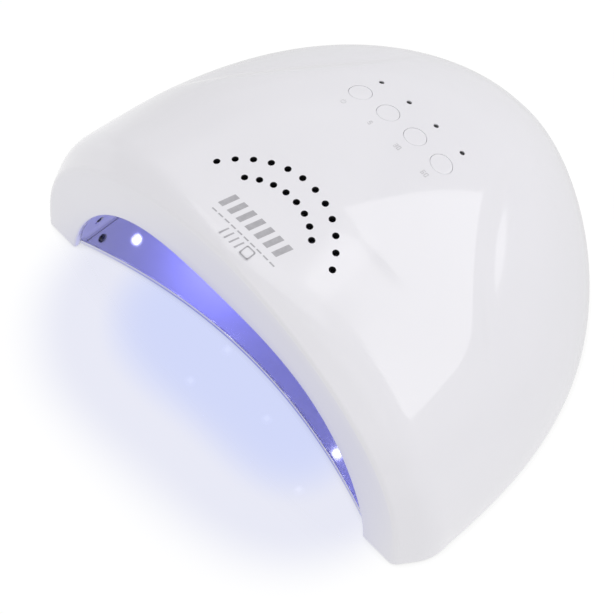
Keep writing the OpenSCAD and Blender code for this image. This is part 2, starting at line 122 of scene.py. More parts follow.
# Button panel
BUTTONS = {"button_power": -21.75, "button_short": -7.25, "button_medium": 7.25, "button_long": 21.75}
BUTTON_Y = 10.9
BUTTON_R = 4.5
BUTTON_GAP = 0.2
WINDOW_Y = 22.2
WINDOW_R = 1.05
BOARD_DEPTH = 12.5
LABEL_Y = 1.5

# Vents: two arcs of holes round one centre
VENT_CENTRE_Y = -71.9
VENT_R = 1.3
VENT_ARCS = ((36.3, 12, 10.64), (27.6, 8, 11.58))

PLATE_HALF = cad_corner("floor_plate", 1)[0]
PLATE_SAG = 15.3
PLATE_T = 0.8
PLATE_LIP_W = 1.2
PLATE_LIP_H = 1.9
PLATE_MARGIN = 7.0

JACK_R = 4.0


# ---- The casing's surface -------------------------------------------------------------------------
def mix3(c, t):
    return c[0] * (1 - t) * (1 - 2 * t) + c[1] * 4 * t * (1 - t) + c[2] * t * (2 * t - 1)


def along(y):
    return (y - Y_FRONT) / BODY_D


def signed_power(v, e):
    return np.sign(v) * np.abs(v) ** e


def close_off(t, powers):
    return np.maximum(0, 1 - np.clip(t, 0, 1) ** powers[0]) ** (1 / powers[1])


def smooth_step(t):
    c = np.clip(t, 0, 1)
    return c * c * (3 - 2 * c)


def closing(t):
    """Shares of a length, closer together towards its end."""
    return 1 - (1 - t) ** 1.7


def plan_half(y, inset=0.0):
    flare = FRONT_FLARE * np.clip((Y_WIDE - y) / (Y_WIDE - Y_FRONT), 0, 9) ** 2
    behind = (HALF_W - inset) * close_off((y - Y_WIDE) / (Y_BACK - inset - Y_WIDE), PLAN_POWERS)
    return np.where(y < Y_WIDE, HALF_W - inset + flare, behind)


def roof(y, inset=0.0):
    rise = FRONT_RISE * np.clip((Y_CREST - y) / (Y_CREST - Y_FRONT), 0, 9) ** 1.1
    behind = (BODY_H - inset) * close_off((y - Y_CREST) / (Y_BACK - inset - Y_CREST), ROOF_POWERS)
    return np.where(y < Y_CREST, BODY_H - inset + rise, behind)


def scoop(y, angle):
    """Depth of the finger scoop: firm at its front and top edge, fading out behind and below."""
    degrees = np.degrees(angle)
    side = np.minimum(degrees, 180 - degrees)
    turn = math.radians(SCOOP_TURN)
    u = y - SCOOP_Y
    v = DEGREE_L * (side - SCOOP_ANGLE)
    run = (u * math.cos(turn) + v * math.sin(turn)) / SCOOP_LONG
    across = (v * math.cos(turn) - u * math.sin(turn)) / SCOOP_SHORT
    chord = np.sqrt(np.maximum(0, 1 - run * run))
    firm = smooth_step((chord - across) / SCOOP_FIRM)
    return SCOOP_DEPTH * firm * smooth_step((chord + across) / SCOOP_FADE)


def body_point(y, angle, inset=0.0):
    x = plan_half(y, inset) * signed_power(np.cos(angle), 2 / mix3(SECTION_X, along(y)))
    z = roof(y, inset) * np.maximum(0, np.sin(angle)) ** (2 / mix3(SECTION_Z, along(y)))
    k = 1 - scoop(y, angle) / np.maximum(1, np.hypot(x, z))
    return np.stack([x * k, y + 0 * x, FOOT_GAP + z * k], -1)


def face_point(angle, inset=0.0):
    x = (FACE_HALF_W - inset) * signed_power(np.cos(angle), 2 / FACE_POWERS[0])
    z = (FACE_H - inset) * np.maximum(0, np.sin(angle)) ** (2 / FACE_POWERS[1])
    return np.stack([x, Y_FRONT + inset + FACE_LEAN * z, FOOT_GAP + z], -1)


def arch_point(angle, grow, behind):
    """A point on the opening's edge, set back behind the front face."""
    x = (ARCH_HALF + grow) * signed_power(np.cos(angle), 2 / ARCH_POWERS[0])
    z = (ARCH_H + grow) * np.maximum(0, np.sin(angle)) ** (2 / ARCH_POWERS[1])
    return np.stack([x, Y_FRONT + behind + FACE_LEAN * z, FOOT_GAP + z], -1)


def bevel_end(angle, inset):
    y = Y_FRONT + EDGE_D + (BEVEL_D - EDGE_D) * np.abs(np.cos(angle)) ** BEVEL_FADE + inset / 2
    return y + FACE_LEAN * (body_point(y, angle, inset)[..., 2] - FOOT_GAP)


def skin_z(x, y):
    """Height of the casing over a place on its plan."""
    share = np.abs(x / plan_half(y)) ** mix3(SECTION_X, along(y))
    return FOOT_GAP + roof(y) * np.maximum(0, 1 - share) ** (1 / mix3(SECTION_Z, along(y)))


# ---- Mesh helpers ---------------------------------------------------------------------------------
def grid_faces(rows, cols, wrap=False, first=0):
    """Quads over a grid of points; wrap joins the last column to the first."""
    faces = []
    for j in range(rows - 1):
        for i in range(cols if wrap else cols - 1):
            a, b = first + j * cols + i, first + j * cols + (i + 1) % cols
            faces.append((a, b, b + cols, a + cols))
    return faces


def make_mesh(name, points, faces, sharp=35.0):
    """A closed mesh from points in millimetres, with doubled points merged and normals outward."""
    mesh = bpy.data.meshes.new(name)
    mesh.from_pydata((np.asarray(points).reshape(-1, 3) * MM).tolist(), [], faces)
    work = bmesh.new()
    work.from_mesh(mesh)
    bmesh.ops.remove_doubles(work, verts=work.verts, dist=1e-7)
    bmesh.ops.dissolve_degenerate(work, edges=work.edges, dist=1e-8)
    bmesh.ops.recalc_face_normals(work, faces=work.faces)
    work.to_mesh(mesh)
    work.free()
    shade(mesh, sharp)
    return mesh


def shade(mesh, sharp):
    mesh.polygons.foreach_set("use_smooth", [True] * len(mesh.polygons))
    mesh.set_sharp_from_angle(angle=math.radians(sharp))


def add_piece(name, mesh, body, slot, material, *stands_for):
    obj = bpy.data.objects.new(name, mesh)
    bpy.context.scene.collection.objects.link(obj)
    if not obj.data.materials:
        obj.data.materials.append(material)
    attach(obj, body)
    if stands_for:
        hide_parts(*stands_for)
    return obj


def solid_of_turn(profile, place, sides=48):
    """Points and faces of a closed solid of revolution. profile is (radius, height) from the axis
    round to the axis again, and place turns (u, v, height) arrays into points."""
    turn = np.arange(sides) * 2 * math.pi / sides
    rings = [place(r * np.cos(turn), r * np.sin(turn), h + 0 * turn) for r, h in profile]
    return np.concatenate(rings), grid_faces(len(profile), sides, wrap=True)


def join_solids(solids):
    """One list of points and one of faces from several (points, faces)."""
    points, faces, count = [], [], 0
    for p, f in solids:
        points.append(p)
        faces += [tuple(i + count for i in face) for face in f]
        count += len(p)
    return np.concatenate(points), faces


def arc(centre, radius, start, end, steps):
    """Profile points on an arc, in degrees."""
    turn = np.radians(np.linspace(start, end, steps + 1))
    return [(centre[0] + radius * math.cos(t), centre[1] + radius * math.sin(t)) for t in turn]


def apply_boolean(mesh, cutter, operation="DIFFERENCE"):
    """The mesh after one exact boolean with another."""
    base = bpy.data.objects.new("boolean_base", mesh)
    tool = bpy.data.objects.new("boolean_tool", cutter)
    for obj in (base, tool):
        bpy.context.scene.collection.objects.link(obj)
    step = base.modifiers.new("cut", "BOOLEAN")
    step.object = tool
    step.operation = operation
    step.solver = "EXACT"
    graph = bpy.context.evaluated_depsgraph_get()
    result = bpy.data.meshes.new_from_object(base.evaluated_get(graph), depsgraph=graph)
    for obj in (base, tool):
        bpy.data.objects.remove(obj)
    return result


def keep_skin_normals(mesh, source, zones, reach):
    """Gives the skin near each cut the smooth normals that it had before the cut."""
    tree = BVHTree.FromPolygons([v.co for v in source.vertices], [p.vertices for p in source.polygons])
    centres = np.array(zones) * MM
    custom = [(0.0, 0.0, 0.0)] * len(mesh.loops)
    for face in mesh.polygons:
        centre = np.array(face.center)
        if np.min(np.linalg.norm(centres - centre, axis=1)) > reach * MM:
            continue
        for loop in face.loop_indices:
            spot = mesh.vertices[mesh.loops[loop].vertex_index].co
            near, flat, index, away = tree.find_nearest(spot)
            if flat.dot(face.normal) < 0.9 or away > 0.02 * MM:
                continue
            corners = source.polygons[index].vertices
            weights = [1 / ((source.vertices[i].co - near).length + 1e-7) for i in corners]
            normal = Vector((0, 0, 0))
            for i, weight in zip(corners, weights):
                normal += source.vertices[i].normal * weight
            custom[loop] = tuple(normal.normalized())
    mesh.normals_split_custom_set(custom)


# ---- Materials ------------------------------------------------------------------------------------
class Nodes:
    """Short calls for building a material's or world's node tree."""

    def __init__(self, owner):
        owner.use_nodes = True
        self.tree = owner.node_tree
        self.tree.nodes.clear()

    def add(self, kind, inputs=None, **settings):
        node = self.tree.nodes.new(kind)
        for key, value in settings.items():
            setattr(node, key, value)
        for key, value in (inputs or {}).items():
            self.put(node, key, value)
        return node

    def put(self, node, key, value):
        socket = node.inputs[key]
        if isinstance(value, bpy.types.NodeSocket):
            self.tree.links.new(value, socket)
        else:
            socket.default_value = value

    def math(self, operation, a, b=0.0, clamp=False):
        return self.add("ShaderNodeMath", {0: a, 1: b}, operation=operation, use_clamp=clamp).outputs[0]

    def ramp(self, value, low, high, out_low=0.0, out_high=1.0, smooth=True):
        kind = "SMOOTHSTEP" if smooth else "LINEAR"
        inputs = {"Value": value, "From Min": low, "From Max": high, "To Min": out_low, "To Max": out_high}
        return self.add("ShaderNodeMapRange", inputs, interpolation_type=kind).outputs[0]

    def mix(self, factor, a, b):
        node = self.add("ShaderNodeMix", data_type="RGBA")
        self.put(node, 0, factor)
        self.put(node, 6, a)
        self.put(node, 7, b)
        return node.outputs[2]

    def noise(self, place, scale, detail=2.0):
        inputs = {"Vector": place, "Scale": scale, "Detail": detail}
        return self.add("ShaderNodeTexNoise", inputs).outputs["Fac"]


def tint(color, factor):
    return tuple(min(1.0, c * factor) for c in color) + (1.0,)


def make_finish(name, color, rough, metal=0.0, coat=0.0, vary=0.03, vary_scale=30.0, rough_vary=0.04,
                grain=2e-6, grain_scale=1500.0, stretch=(1, 1, 1), subsurface=0.0, sheen=0.0,
                satin_slopes=0.0):
    """A finish with mottled colour, uneven gloss and fine surface grain. Satin slopes are rougher
    wherever the surface isn't level."""
    material = bpy.data.materials.new(name)
    n = Nodes(material)
    place = n.add("ShaderNodeTexCoord").outputs["Object"]
    place = n.add("ShaderNodeMapping", {"Vector": place, "Scale": stretch}).outputs[0]
    broad = n.noise(place, vary_scale, 3.0)
    middle = n.noise(place, vary_scale * 9, 2.0)
    fine = n.noise(place, grain_scale, 2.0)
    base = n.mix(n.ramp(broad, 0.3, 0.7), tint(color, 1 - vary), tint(color, 1 + vary))
    gloss = n.ramp(middle, 0.25, 0.75, max(0.02, rough - rough_vary), rough + rough_vary)
    if satin_slopes:
        facing = n.add("ShaderNodeNewGeometry").outputs["Normal"]
        level = n.add("ShaderNodeSeparateXYZ", {"Vector": facing}).outputs[2]
        gloss = n.math("ADD", gloss, n.ramp(level, 0.90, 0.995, satin_slopes, 0.0))
    bump = n.add("ShaderNodeBump", {"Height": fine, "Distance": grain, "Strength": 1.0}).outputs[0]
    shader = n.add("ShaderNodeBsdfPrincipled", {
        "Base Color": base, "Roughness": gloss, "Metallic": metal, "Normal": bump,
        "Coat Weight": coat, "Coat Roughness": 0.03, "Sheen Weight": sheen,
        "Subsurface Weight": subsurface, "Subsurface Scale": 0.002,
    })
    n.add("ShaderNodeOutputMaterial", {"Surface": shader.outputs[0]})
    return material


def make_board_finish():
    """Solder mask with lighter traces and tinned pads."""
    material = bpy.data.materials.new("board_green")
    n = Nodes(material)
    place = n.add("ShaderNodeTexCoord").outputs["Object"]
    bricks = n.add("ShaderNodeTexBrick", {
        "Vector": place, "Scale": 260.0, "Mortar Size": 0.03, "Color1": (0.012, 0.10, 0.05, 1),
        "Color2": (0.015, 0.12, 0.06, 1), "Mortar": (0.03, 0.22, 0.10, 1),
    })
    dots = n.add("ShaderNodeTexVoronoi", {"Vector": place, "Scale": 300.0, "Randomness": 0.3})
    pad = n.ramp(dots.outputs["Distance"], 0.16, 0.13)
    base = n.mix(pad, bricks.outputs["Color"], (0.72, 0.72, 0.70, 1))
    shader = n.add("ShaderNodeBsdfPrincipled", {
        "Base Color": base, "Metallic": n.math("MULTIPLY", pad, 0.9), "Roughness": 0.35,
        "Normal": n.add("ShaderNodeBump", {"Height": pad, "Distance": 2e-5}).outputs[0],
    })
    n.add("ShaderNodeOutputMaterial", {"Surface": shader.outputs[0]})
    return material


# The lenses: the name of their own measure, and how bright and what colour they are
REACH = "reach"
LENS_CORE = 6.0
LENS_GLOW = 2.0
LENS_SPILL = (0.3, 0.3, 1.0, 1)


def make_lens_finish():
    """A lit lens: white-hot in the middle, violet at its rim."""
    material = bpy.data.materials.new("lens_violet")
    n = Nodes(material)
    reach = n.add("ShaderNodeAttribute", attribute_name=REACH).outputs["Fac"]
    place = n.add("ShaderNodeTexCoord").outputs["Object"]
    grain = n.ramp(n.noise(place, 900.0), 0.3, 0.7, 0.92, 1.08)
    color = n.mix(n.ramp(reach, 0.45, 1.0), (0.88, 0.90, 1.0, 1), (0.45, 0.45, 1.0, 1))
    strength = n.math("MULTIPLY", n.ramp(reach, 0.3, 0.55, LENS_CORE, LENS_GLOW), grain)
    diffuse = n.add("ShaderNodeLightPath").outputs["Is Diffuse Ray"]
    color = n.mix(diffuse, color, LENS_SPILL)
    strength = n.math("MULTIPLY", strength, n.ramp(diffuse, 0, 1, 1.0, 0.05))
    glow = n.add("ShaderNodeEmission", {"Color": color, "Strength": strength}).outputs[0]
    skin = n.add("ShaderNodeBsdfPrincipled", {"Base Color": (0.6, 0.6, 1.0, 1), "Roughness": 0.08})
    both = n.add("ShaderNodeAddShader")
    n.put(both, 0, glow)
    n.put(both, 1, skin.outputs[0])
    n.add("ShaderNodeOutputMaterial", {"Surface": both.outputs[0]})
    return material


FINISHES = {
    "casing_white": make_finish("casing_white", (0.79, 0.785, 0.82), 0.08, coat=0.35, vary=0.008,
                                vary_scale=18, rough_vary=0.02, grain=1.2e-6, grain_scale=700),
    # White plastic of the liner and base frame, painted darker and bluish: painted shade and painted
    # violet light from the lenses
    "liner_white": make_finish("liner_white", (0.60, 0.60, 0.72), 0.5, vary=0.02,
                               grain=3e-6, grain_scale=1200),
    "plate_steel": make_finish("plate_steel", (0.78, 0.78, 0.81), 0.09, metal=1.0, vary=0.02,
                               rough_vary=0.03, grain=6e-7, grain_scale=1500, stretch=(0.06, 1, 1),
                               satin_slopes=0.4),
    "fastener_steel": make_finish("fastener_steel", (0.62, 0.62, 0.64), 0.28, metal=1.0, vary=0.08,
                                  vary_scale=200, grain=4e-6, grain_scale=3000),
    "magnet_nickel": make_finish("magnet_nickel", (0.58, 0.57, 0.55), 0.18, metal=1.0, vary=0.05,
                                 vary_scale=200, grain=1e-6),
    "foot_rubber": make_finish("foot_rubber", (0.035, 0.035, 0.038), 0.7, vary=0.15, vary_scale=150,
                               grain=2e-5, grain_scale=2500, sheen=0.2),
    "black_plastic": make_finish("black_plastic", (0.022, 0.022, 0.025), 0.42, vary=0.12,
                                 vary_scale=120, grain=1.2e-5, grain_scale=3000),
    "board_green": make_board_finish(),
    "capacitor_sleeve": make_finish("capacitor_sleeve", (0.02, 0.03, 0.09), 0.3, vary=0.1,
                                    vary_scale=200, grain=5e-6),
    "ferrite": make_finish("ferrite", (0.05, 0.05, 0.055), 0.6, vary=0.2, vary_scale=400,
                           grain=2e-5, grain_scale=2500),
    "connector_cream": make_finish("connector_cream", (0.72, 0.67, 0.52), 0.4, vary=0.04,
                                   vary_scale=150, grain=6e-6),
    "window_smoke": make_finish("window_smoke", (0.012, 0.012, 0.016), 0.08, vary=0.2, vary_scale=500,
                                grain=1e-6),
    "led_clear": make_finish("led_clear", (0.7, 0.74, 0.85), 0.12, vary=0.03, vary_scale=400),
    "led_board_white": make_finish("led_board_white", (0.78, 0.78, 0.74), 0.35, vary=0.03,
                                   vary_scale=250, grain=4e-6),
    "led_phosphor": make_finish("led_phosphor", (0.7, 0.6, 0.16), 0.45, vary=0.1, vary_scale=700),
    "lens_violet": make_lens_finish(),
    "wire_red": make_finish("wire_red", (0.42, 0.02, 0.02), 0.35, vary=0.08, vary_scale=200, grain=5e-6),
    "wire_white": make_finish("wire_white", (0.7, 0.7, 0.68), 0.38, vary=0.05, vary_scale=200, grain=5e-6),
}
INK = make_finish("printed_ink", (0.42, 0.415, 0.44), 0.4, vary=0.06, vary_scale=600, grain=3e-6)
PALE_INK = make_finish("printed_ink_pale", (0.56, 0.555, 0.58), 0.4, vary=0.05, vary_scale=600, grain=3e-6)
# Near-black on the vent holes' walls: painted shade for the dark inside of the holes, the walls being the
# casing's white plastic
VENT_PAINTED_SHADE = make_finish("vent_painted_shade", (0.012, 0.012, 0.014), 0.5, vary=0.1, vary_scale=300)

# The base frame takes the liner's finish with its painted shade and painted violet light
NODE_FINISHES = {
    "base_frame": "liner_white", "plate_magnets": "magnet_nickel", "base_screws": "fastener_steel",
    "plunger_power": "black_plastic", "plunger_short": "black_plastic", "plunger_medium": "black_plastic",
    "plunger_long": "black_plastic", "switch_bodies": "black_plastic", "control_board": "board_green",
    "board_screws": "fastener_steel", "controller_chip": "black_plastic",
    "capacitors": "capacitor_sleeve", "inductor": "ferrite", "power_transistors": "black_plastic",
    "board_connectors": "connector_cream", "indicator_leds": "led_clear", "led_boards": "led_board_white",
    "led_emitters": "led_phosphor", "liner_screws": "fastener_steel", "dc_jack": "black_plastic",
    "jack_nut": "fastener_steel", "jack_leads": "wire_red", "led_leads": "wire_white",
    "hand_sensor_emitter": "window_smoke", "hand_sensor_receiver": "window_smoke",
}


def finish_cad_nodes():
    """Gives each carried-over CAD node its finish and softens its sharp edges."""
    for name, finish in NODE_FINISHES.items():
        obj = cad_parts[name]
        obj.data.materials.clear()
        obj.data.materials.append(FINISHES[finish])
        obj.modifiers.new("join", "WELD").merge_threshold = 1e-6
        soften = obj.modifiers.new("soften", "BEVEL")
        soften.width = 0.12 * MM
        soften.segments = 2
        soften.limit_method = "ANGLE"
        soften.angle_limit = math.radians(50)
        soften.harden_normals = False


# ---- Places on the casing -------------------------------------------------------------------------
TILT = math.atan((skin_z(0, BUTTON_Y - 1) - skin_z(0, BUTTON_Y + 1)) / 2)
PANEL_BACK = np.array([0, math.cos(TILT), -math.sin(TILT)])
PANEL_UP = np.array([0, math.sin(TILT), math.cos(TILT)])
PANEL_ORIGIN = np.array([0, BUTTON_Y, float(skin_z(0, BUTTON_Y))]) - BOARD_DEPTH * PANEL_UP


def panel_place(u, v, height):
    """A point in the button panel's own tilted frame."""
    return (PANEL_ORIGIN + np.multiply.outer(u, [1, 0, 0]) + np.multiply.outer(v, PANEL_BACK)
            + np.multiply.outer(height, PANEL_UP))


def skin_over_panel(u, v):
    """Height of the skin over the panel's board, found by stepping along the panel's axis."""
    height = BOARD_DEPTH + 0 * (u + v)
    for _ in range(8):
        p = panel_place(u, v, height)
        height = height + (skin_z(p[..., 0], p[..., 1]) - p[..., 2]) * math.cos(TILT)
    return height


def panel_v(y):
    """Distance up the panel of a place at depth y on the middle of the skin."""
    return (y - BUTTON_Y) / math.cos(TILT)


def over_panel(centre_u, centre_v):
    """Places (u, v, height above the skin) round a centre on the button panel."""
    def place(u, v, height):
        u, v = u + centre_u, v + centre_v
        return panel_place(u, v, skin_over_panel(u, v) + height)
    return place


def over_skin(x, y):
    """Places (u, v, height above the skin) round a centre on the casing's plan."""
    def place(u, v, height):
        return np.stack([x + u, y + v, skin_z(x + u, y + v) + height], -1)
    return place


def skin_normal(x, y):
    sx = (skin_z(x + 0.1, y) - skin_z(x - 0.1, y)) / 0.2
    sy = (skin_z(x, y + 0.1) - skin_z(x, y - 0.1)) / 0.2
    n = np.stack([-sx, -sy, 1 + 0 * sx], -1)
    return n / np.linalg.norm(n, axis=-1, keepdims=True)


def hole_profile(radius, rounding, depth):
    """Outline of a hole cutter: straight wall, then a rounded mouth that opens past the skin."""
    mouth = [(radius + rounding * (1 - math.cos(t)), rounding * (math.sin(t) - 1))
             for t in np.radians([0, 20, 40, 60])]
    last = mouth[-1]
    return [(0, -depth), (radius, -depth)] + mouth + [(last[0] + 1.2, last[1] + 0.7), (0, last[1] + 0.7)]


def vent_sites():
    for radius, count, step in VENT_ARCS:
        for i in range(count):
            turn = math.radians((i - (count - 1) / 2) * step)
            yield radius * math.sin(turn), VENT_CENTRE_Y + radius * math.cos(turn)


# ---- Casing ---------------------------------------------------------------------------------------
AROUND = 200
BODY_RINGS = 96


def corner_curve(before, corner, after, steps):
    """Rows of points on a smooth curve that rounds off a corner."""
    rows = []
    for t in np.linspace(0, 1, steps + 1):
        rows.append((1 - t) ** 2 * before + 2 * t * (1 - t) * corner + t * t * after)
    return rows


def casing_rows(angle, inset, start_rows):
    """Rows of points from the opening's edge, over the bevel, to the back."""
    face = face_point(angle, inset)
    y0 = bevel_end(angle, inset)
    shoulder = body_point(y0, angle, inset)
    slope = shoulder - face
    length = np.linalg.norm(slope, axis=-1, keepdims=True)
    slope = slope / length
    last = start_rows[-1]
    inward = (last - face) / np.linalg.norm(last - face, axis=-1, keepdims=True)
    soft = np.minimum(2.2, 0.4 * length)
    rows = list(start_rows)
    edge = face + inward * soft
    rows += [last + (edge - last) * t for t in (0.25, 0.5, 0.75)]
    rows += corner_curve(edge, face, face + slope * soft, 6)
    y1 = y0 + 1.5 + 0.35 * length[..., 0]
    rows += corner_curve(shoulder - slope * 0.45 * length, shoulder, body_point(y1, angle, inset), 7)
    end = Y_BACK - inset
    for j in range(1, BODY_RINGS):
        rows.append(body_point(y1 + (end - y1) * closing(j / BODY_RINGS), angle, inset))
    tip = np.array([0, end, FOOT_GAP])
    rows.append(np.broadcast_to(tip, face.shape))
    return rows


def casing_mesh():
    """The uncut casing: a closed shell with a rounded edge round its opening."""
    angle = np.linspace(0, math.pi, AROUND + 1)
    lip = 0.9
    edge = [arch_point(angle, lip * (1 - math.cos(t)), lip * (1 - math.sin(t)))
            for t in np.radians([0, 22, 45, 68, 90])]
    inner_edge = [arch_point(angle, g, WALL) for g in (0, 0.2, 0.5, 0.7, 0.9)]
    outer = casing_rows(angle, 0, edge)
    inner = casing_rows(angle, WALL, inner_edge)
    rows = len(outer)
    cols = AROUND + 1
    points = np.concatenate([np.array(outer), np.array(inner[::-1])]).reshape(-1, 3)
    faces = grid_faces(rows, cols) + grid_faces(rows, cols, first=rows * cols)
    last = (2 * rows - 1) * cols
    faces += [(last + i, last + i + 1, i + 1, i) for i in range(AROUND)]
    for i in (0, AROUND):
        for j in range(rows - 1):
            a, b = j * cols + i, (2 * rows - 1 - j) * cols + i
            faces.append((a, a + cols, b - cols, b))
    return make_mesh("casing_uncut", points, faces)


def build_casing():
    uncut = casing_mesh()
    cutters = []
    vents = []
    zones = []
    for x, y in vent_sites():
        vents.append(solid_of_turn(hole_profile(VENT_R - 0.1, 0.2, 8), over_skin(x, y), 32))
        zones.append((x, y, float(skin_z(x, y))))
    for x in BUTTONS.values():
        profile = hole_profile(BUTTON_R + BUTTON_GAP - 0.11, 0.14, 6)
        cutters.append(solid_of_turn(profile, over_panel(x, 0), 72))
        zones.append(panel_place(x, 0, float(skin_over_panel(x, 0))))
        profile = hole_profile(WINDOW_R, 0.15, 6)
        cutters.append(solid_of_turn(profile, over_panel(x, panel_v(WINDOW_Y)), 32))
        zones.append(panel_place(x, panel_v(WINDOW_Y), float(skin_over_panel(x, panel_v(WINDOW_Y)))))
    jack = (cad_corner("dc_jack", 0) + cad_corner("dc_jack", 1)) / 2
    jack_face = cad_corner("dc_jack", 1)[1]
    profile = [(0, -15), (JACK_R + 0.1, -15), (JACK_R + 0.1, -0.2), (JACK_R + 1.6, 3), (0, 3)]

    def place(u, v, height):
        return np.stack([jack[0] + u, jack_face + height, jack[2] + v], -1)
    cutters.append(solid_of_turn(profile, place))
    zones.append((jack[0], Y_BACK, jack[2]))
    uncut.materials.append(FINISHES["casing_white"])
    # The second slot holds the vent walls' near-black painted shade
    uncut.materials.append(VENT_PAINTED_SHADE)
    cut = apply_boolean(uncut, make_mesh("casing_cutters", *join_solids(cutters)))
    vent_cutter = make_mesh("vent_cutters", *join_solids(vents))
    # The vent cutter's faces become the hole walls, which carry the near-black painted shade
    for finish in uncut.materials:
        vent_cutter.materials.append(finish)
    for face in vent_cutter.polygons:
        face.material_index = 1
    cut = apply_boolean(cut, vent_cutter)
    shade(cut, 35)
    keep_skin_normals(cut, uncut, zones, 9)
    cut.name = "casing"
    return add_piece("casing", cut, "lamp", "casing_white", FINISHES["casing_white"], "top_shell")


# ---- Buttons and indicator windows ----------------------------------------------------------------
def build_button(node, x):
    """A cap that follows the skin, with a rounded edge, a retaining flange and a stem."""
    crown = 0.12
    edge = 0.35
    side = BUTTON_R
    level = float(skin_over_panel(x, 0))
    flange_top = level - 4.4
    stem_low = 4.6

    def place(u, v, height):
        over = panel_place(u + x, v, skin_over_panel(u + x, v) + height)
        flat = panel_place(u + x, v, height)
        return np.where((height < 1)[:, None], over, flat)

    top = [(r, crown * (1 - (r / side) ** 2)) for r in np.linspace(0, side - edge, 14)]
    rim = [(side - edge + edge * math.sin(t), -edge * (1 - math.cos(t)))
           for t in np.radians([20, 40, 60, 75, 90])]
    body = [(side, flange_top), (side + 1, flange_top), (side + 1, flange_top - 0.8),
            (1.5, flange_top - 0.8), (1.5, stem_low), (0, stem_low)]
    solid = solid_of_turn(top + rim + body, place, 72)
    key = "key_" + node.split("_")[1]
    mesh = make_mesh(node + "_cap", *solid)
    return add_piece(node + "_cap", mesh, key, "casing_white", FINISHES["casing_white"], node)


def build_windows():
    """Smoked pins with domed tops, one in each indicator hole."""
    solids = []
    for x in BUTTONS.values():
        dome = [(WINDOW_R * 0.93 * math.sin(t), -0.42 + 0.2 * math.cos(t))
                for t in np.radians([0, 20, 40, 60, 80])]
        pin = dome + [(WINDOW_R * 0.96, -0.45), (WINDOW_R * 0.96, -3.2), (0, -3.2)]
        solids.append(solid_of_turn(pin, over_panel(x, panel_v(WINDOW_Y)), 32))
    mesh = make_mesh("window_pins", *join_solids(solids))
    return add_piece("window_pins", mesh, "lamp", "window_smoke", FINISHES["window_smoke"],
                     "indicator_windows")


# ---- Liner and lenses -----------------------------------------------------------------------------
def liner_half(y, grow):
    return (ARCH_HALF + grow) * close_off((y - Y_WIDE) / (LINER_BACK + grow - Y_WIDE), PLAN_POWERS)


def liner_roof(y, grow):
    return (ARCH_H + grow) * close_off((y - LINER_CREST) / (LINER_BACK + grow - LINER_CREST),
                                       (LINER_ROOF_POWER, LINER_ROOF_POWER))


def liner_power_z(y):
    return 2 / (ARCH_POWERS[1] + 0.5 * np.maximum(0, along(y)))


def liner_point(y, angle, grow):
    power = 2 / (ARCH_POWERS[0] - 0.8 * np.maximum(0, along(y)))
    x = liner_half(y, grow) * signed_power(np.cos(angle), power)
    z = liner_roof(y, grow) * np.maximum(0, np.sin(angle)) ** liner_power_z(y)
    return np.stack([x, y + 0 * x, FOOT_GAP + z], -1)


def liner_front(angle):
    z = ARCH_H * np.maximum(0, np.sin(angle)) ** (2 / ARCH_POWERS[1])
    return Y_FRONT + FACE_T + 0.2 + FACE_LEAN * z


def liner_rows(grow, rings, cols):
    """Rows of points over the liner's dome, from its front edge to its back, down to its seat."""
    share = np.linspace(0, 1, cols)
    level = LINER_SEAT / (ARCH_H + grow)
    share_left = (1 - level ** LINER_ROOF_POWER) ** (1 / LINER_ROOF_POWER)
    end = LINER_CREST + (LINER_BACK + grow - LINER_CREST) * share_left
    rows = []
    for j in range(rings):
        lowest = 0.1
        for _ in range(12):
            y = liner_front(lowest) + (end - liner_front(lowest)) * closing(j / rings)
            rise = LINER_SEAT / float(liner_roof(y, grow))
            lowest = math.asin(min(1.0, rise ** (1 / float(liner_power_z(y)))))
        angle = lowest + (math.pi - 2 * lowest) * share
        y = liner_front(angle) + (end - liner_front(angle)) * closing(j / rings)
        row = liner_point(y, angle, grow)
        row[[0, -1], 2] = FOOT_GAP + LINER_SEAT
        rows.append(row)
    rows.append(np.broadcast_to([0, end, FOOT_GAP + LINER_SEAT], (cols, 3)))
    return rows


def liner_frame(y, degrees):
    """Origin and axes of a place on the liner's wall; the third axis points into the cavity."""
    angle = math.radians(degrees)
    p = liner_point(np.float64(y), angle, 0)
    across = liner_point(np.float64(y), angle + 0.01, 0) - p
    deeper = liner_point(np.float64(y + 0.5), angle, 0) - p
    n = np.cross(deeper, across)
    n /= np.linalg.norm(n)
    if n[2] * (p[2] - FOOT_GAP) + n[0] * p[0] > 0:
        n = -n
    side = np.cross(n, [0, 1, 0])
    side /= np.linalg.norm(side)
    return p, side, np.cross(n, side), n


def on_liner(y, degrees):
    """Places (u, v, height) in the frame of one LED site."""
    p, side, up, n = liner_frame(y, degrees)

    def place(u, v, height):
        return p + np.multiply.outer(u, side) + np.multiply.outer(v, up) + np.multiply.outer(height, n)
    return place


def flange_prism():
    """The liner's flat flange, as a prism between two outlines."""
    steps = 48
    start = Y_FRONT + FACE_T + 2
    loop = []
    for grow in (LINER_FLANGE, LINER_T / 2):
        depths = start + (LINER_BACK + grow - Y_FRONT - FACE_T - 2) * closing(np.linspace(0, 1, steps))
        side = [(float(liner_half(y, grow)), y) for y in depths]
        loop.append(side + [(-x, y) for x, y in side[-2::-1]])
    low, high = FOOT_GAP + LINER_SEAT, FOOT_GAP + LINER_SEAT + LINER_T
    rings = [(loop[0], low), (loop[0], high), (loop[1], high), (loop[1], low), (loop[0], low)]
    points = np.array([[(x, y, z) for x, y in outline] for outline, z in rings])
    count = points.shape[1]
    faces = grid_faces(len(rings), count)
    for i in (0, count - 1):
        faces.append(tuple(j * count + i for j in range(4)))
    return make_mesh("flange", points, faces)


